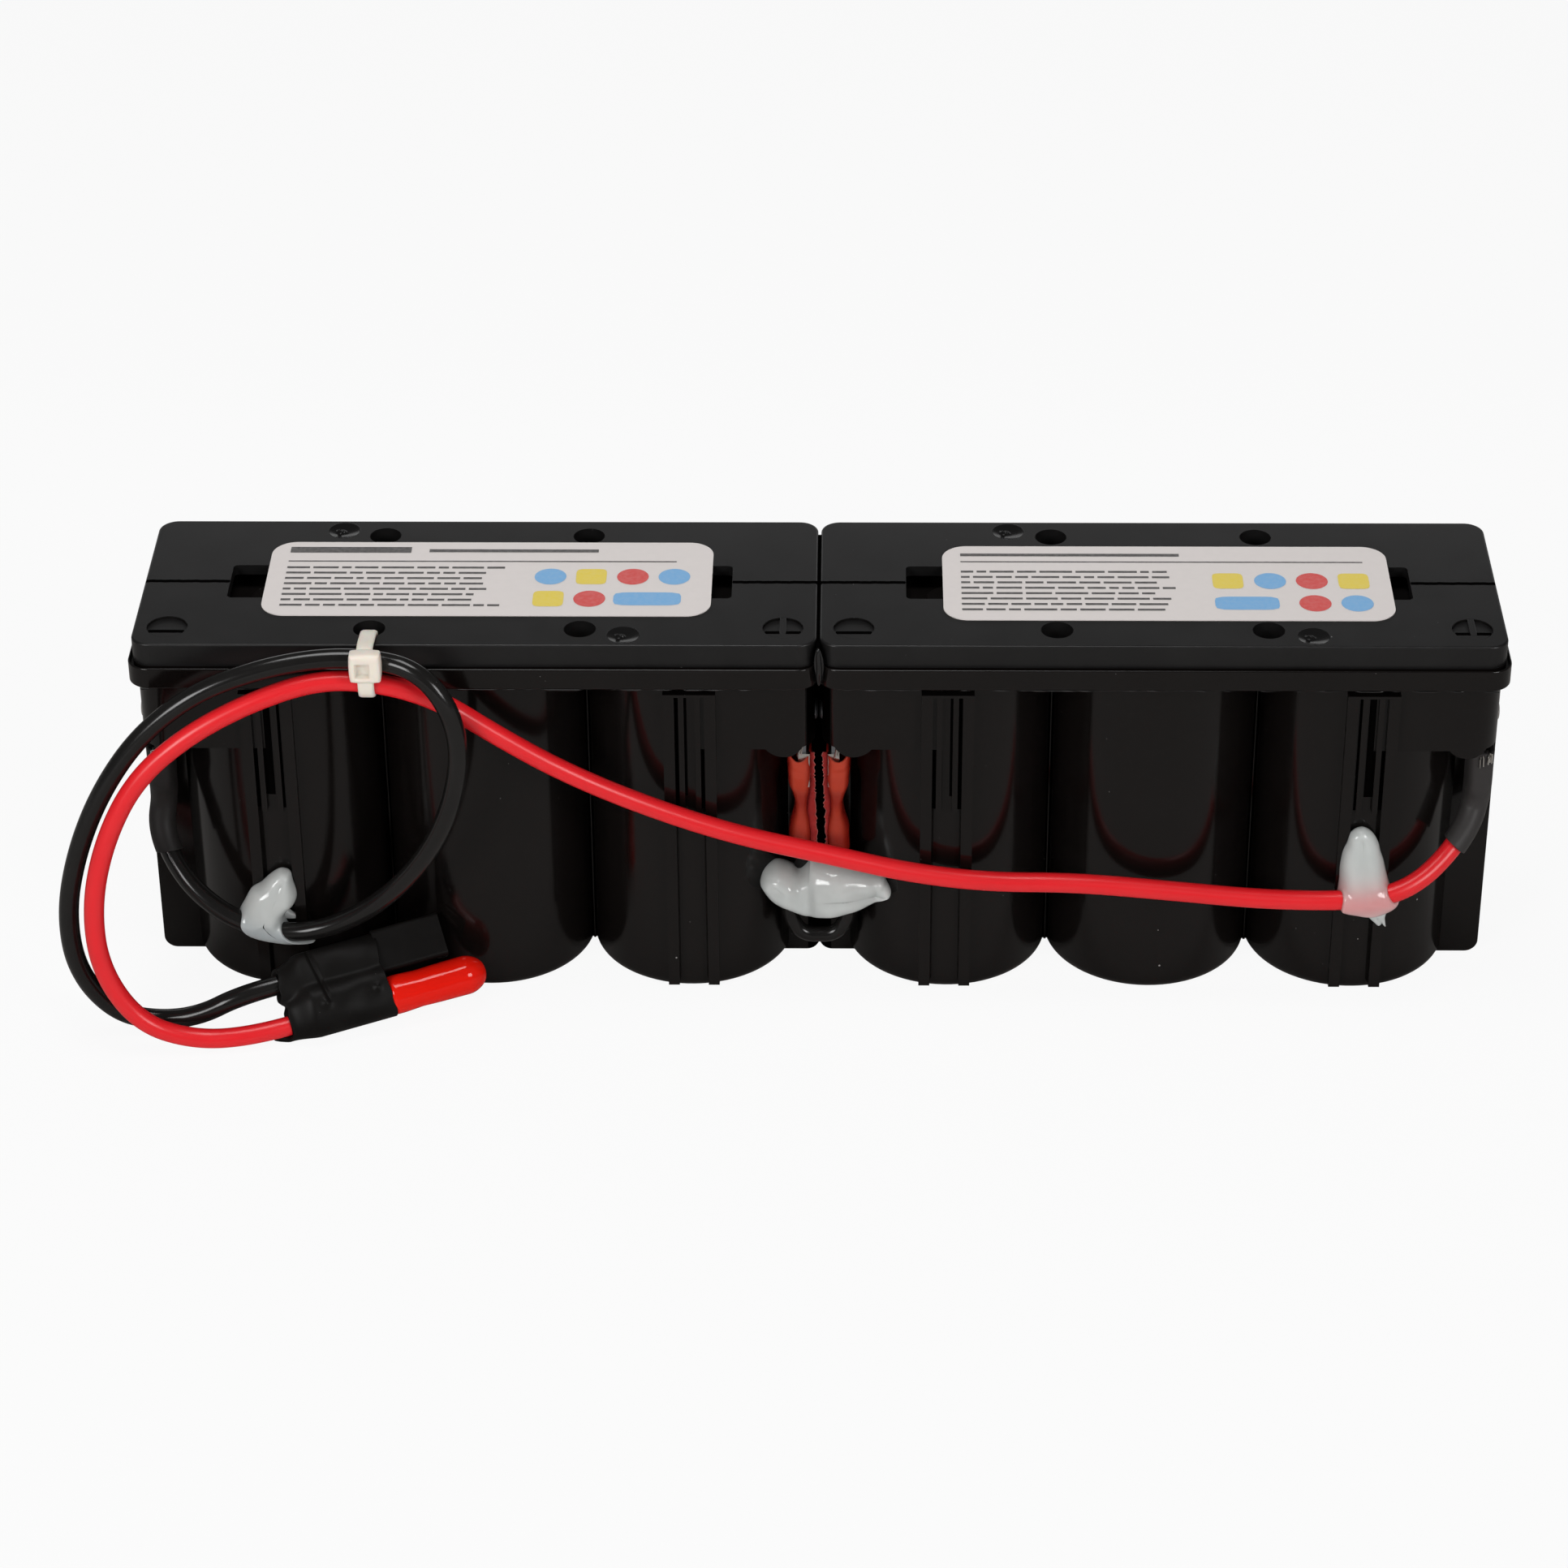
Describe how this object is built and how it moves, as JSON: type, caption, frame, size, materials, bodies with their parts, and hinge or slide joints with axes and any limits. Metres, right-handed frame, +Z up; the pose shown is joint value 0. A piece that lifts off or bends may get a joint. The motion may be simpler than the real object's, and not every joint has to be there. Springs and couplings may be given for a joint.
{
  "type": "sealed lead-acid battery",
  "caption": "Battery pack of black moulded blocks with round cell wells, glued end to end and wired in series, with red and black leads tied at the lid and ending in a plug.",
  "frame": {"origin": "middle of the pack's base, on the surface it stands on", "axes": "+X along the pack towards the red terminal, +Y towards the back, +Z up"},
  "size_m": [0.236, 0.0584, 0.0712],
  "materials": {
    "black_case": "glossy moulded black",
    "label": "satin off-white",
    "inner_plastic": "matt black",
    "element": "dull grey",
    "lead_metal": "dull grey",
    "tin": "bright tin plate",
    "red_sleeve": "translucent red",
    "black_wire": "satin black",
    "red_wire": "satin red",
    "shrink": "satin black",
    "red_cap": "glossy dipped red",
    "tie": "satin ivory",
    "glue": "milky translucent"
  },
  "bodies": {
    "root": {"black_lead": "black_wire", "black_shrink": "shrink", "cable_tie": "tie", "cell_1": "element", "cell_2": "element", "cell_3": "element", "cell_4": "element", "cell_5": "element", "cell_6": "element", "left_container": "black_case", "left_glue": "glue", "left_inner_cover": "inner_plastic", "left_label": "label", "left_lid": "black_case", "left_sleeve": "red_sleeve", "link_wire": "black_wire", "middle_glue": "glue", "plug_cap": "red_cap", "plug_housing": "shrink", "plug_pin": "tin", "plug_receptacle": "tin", "plug_sleeve": "shrink", "receptacle_1": "tin", "receptacle_2": "tin", "receptacle_3": "tin", "receptacle_4": "tin", "red_lead": "red_wire", "red_shrink": "shrink", "relief_valve_1": "tin", "relief_valve_2": "tin", "relief_valve_3": "tin", "relief_valve_4": "tin", "relief_valve_5": "tin", "relief_valve_6": "tin", "right_container": "black_case", "right_glue": "glue", "right_inner_cover": "inner_plastic", "right_label": "label", "right_lid": "black_case", "right_sleeve": "red_sleeve", "seam_bead": "black_case", "strap_1_2": "lead_metal", "strap_2_3": "lead_metal", "strap_4_5": "lead_metal", "strap_5_6": "lead_metal", "terminal_1": "tin", "terminal_2": "tin", "terminal_3": "tin", "terminal_4": "tin"}
  },
  "joints": []
}
